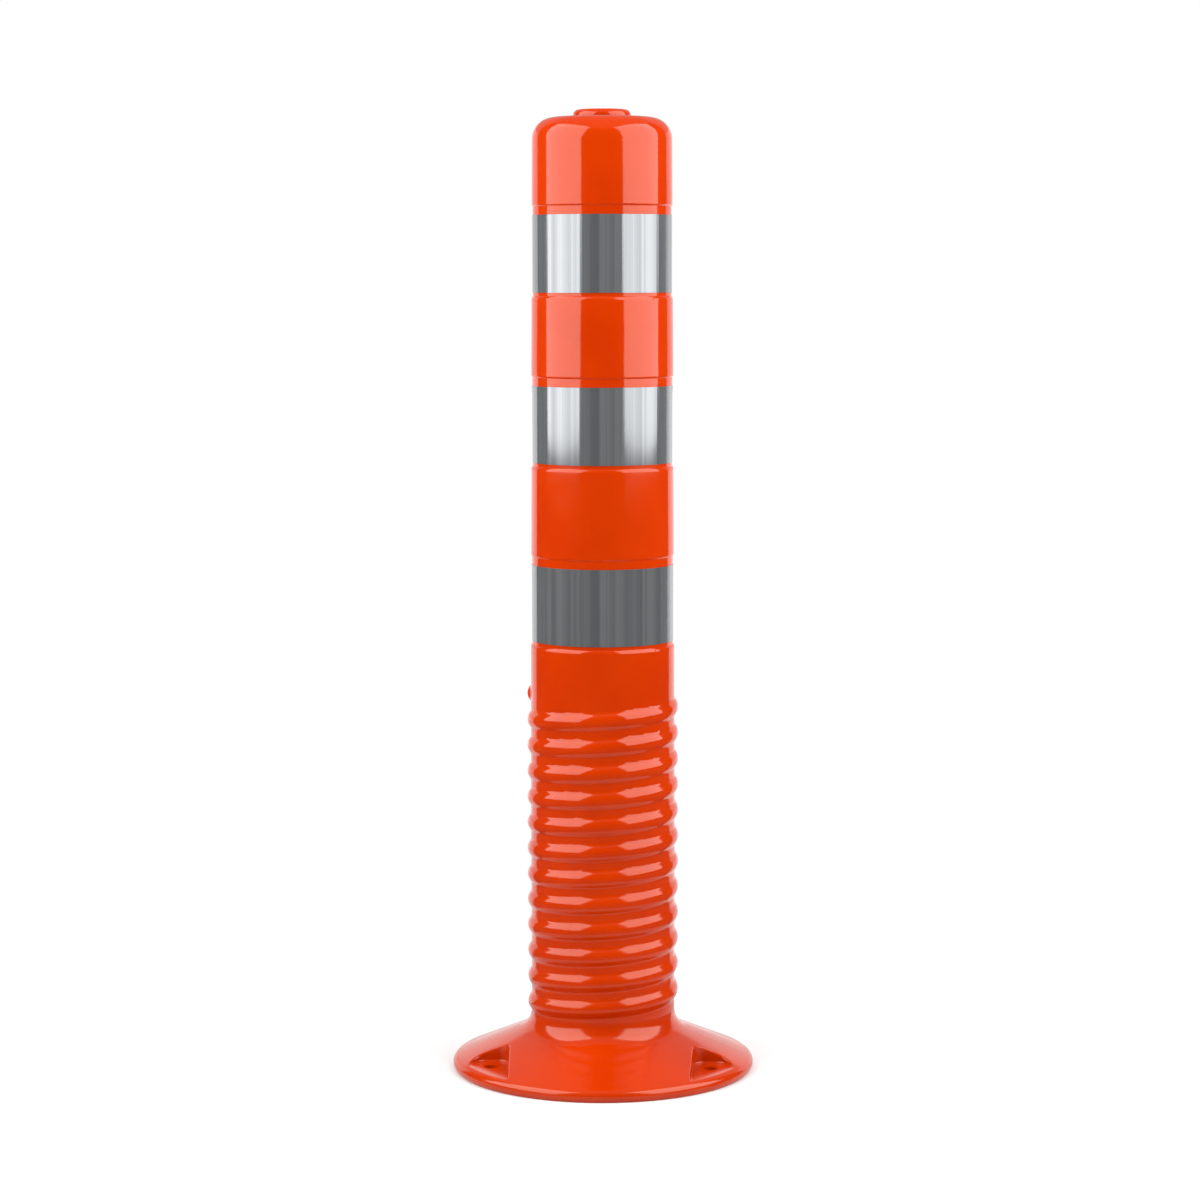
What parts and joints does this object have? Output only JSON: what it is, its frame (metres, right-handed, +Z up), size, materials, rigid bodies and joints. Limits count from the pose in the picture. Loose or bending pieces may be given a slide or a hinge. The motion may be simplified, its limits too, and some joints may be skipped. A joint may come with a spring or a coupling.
{
  "type": "flexible delineator post",
  "caption": "Hollow flexible post with a flared round base, anchor holes, a helical ribbed bending part, recessed reflective bands and a domed top with a plug.",
  "frame": {"origin": "centre of the underside of the base flange", "axes": "+Z up along the post; -Y is the front, where the two front anchor holes are"},
  "size_m": [0.2, 0.2, 0.632],
  "materials": {
    "moulding": "gloss",
    "reflective_film": "satin",
    "plug": "gloss"
  },
  "bodies": {
    "base": {"base_flange": "moulding", "flex_ring_1": "moulding", "flex_web_1": "moulding"},
    "flex_1": {"flex_ring_2": "moulding", "flex_web_2": "moulding"},
    "flex_2": {"flex_ring_3": "moulding", "flex_web_3": "moulding"},
    "flex_3": {"flex_ring_4": "moulding", "flex_web_4": "moulding"},
    "flex_4": {"flex_ring_5": "moulding", "flex_web_5": "moulding"},
    "flex_5": {"flex_ring_6": "moulding", "flex_web_6": "moulding"},
    "mast": {"flex_ring_7": "moulding", "upper_tube": "moulding", "top_plug": "plug", "reflective_band_lower": "reflective_film", "reflective_band_middle": "reflective_film", "reflective_band_upper": "reflective_film"}
  },
  "joints": [
    {"name": "bend_front_back_1", "type": "hinge", "parent": "base", "child": "flex_1", "pos_m": [0, 0, 0.06004], "axis": [1, 0, 0], "range_deg": [-30, 30], "stiffness_Nm_per_rad": 150, "deforming": ["flex_web_1"]},
    {"name": "bend_sideways_1", "type": "hinge", "parent": "flex_1", "child": "flex_2", "pos_m": [0, 0, 0.1003], "axis": [0, 1, 0], "range_deg": [-30, 30], "stiffness_Nm_per_rad": 150, "deforming": ["flex_web_2"]},
    {"name": "bend_front_back_2", "type": "hinge", "parent": "flex_2", "child": "flex_3", "pos_m": [0, 0, 0.14056], "axis": [1, 0, 0], "range_deg": [-30, 30], "stiffness_Nm_per_rad": 150, "deforming": ["flex_web_3"]},
    {"name": "bend_sideways_2", "type": "hinge", "parent": "flex_3", "child": "flex_4", "pos_m": [0, 0, 0.18082], "axis": [0, 1, 0], "range_deg": [-30, 30], "stiffness_Nm_per_rad": 150, "deforming": ["flex_web_4"]},
    {"name": "bend_front_back_3", "type": "hinge", "parent": "flex_4", "child": "flex_5", "pos_m": [0, 0, 0.22107], "axis": [1, 0, 0], "range_deg": [-30, 30], "stiffness_Nm_per_rad": 150, "deforming": ["flex_web_5"]},
    {"name": "bend_sideways_3", "type": "hinge", "parent": "flex_5", "child": "mast", "pos_m": [0, 0, 0.26133], "axis": [0, 1, 0], "range_deg": [-30, 30], "stiffness_Nm_per_rad": 150, "deforming": ["flex_web_6"]}
  ],
  "couplings": [
    {"joint": "bend_front_back_2", "follows": "bend_front_back_1", "ratio": 1},
    {"joint": "bend_front_back_3", "follows": "bend_front_back_1", "ratio": 1},
    {"joint": "bend_sideways_2", "follows": "bend_sideways_1", "ratio": 1},
    {"joint": "bend_sideways_3", "follows": "bend_sideways_1", "ratio": 1}
  ]
}
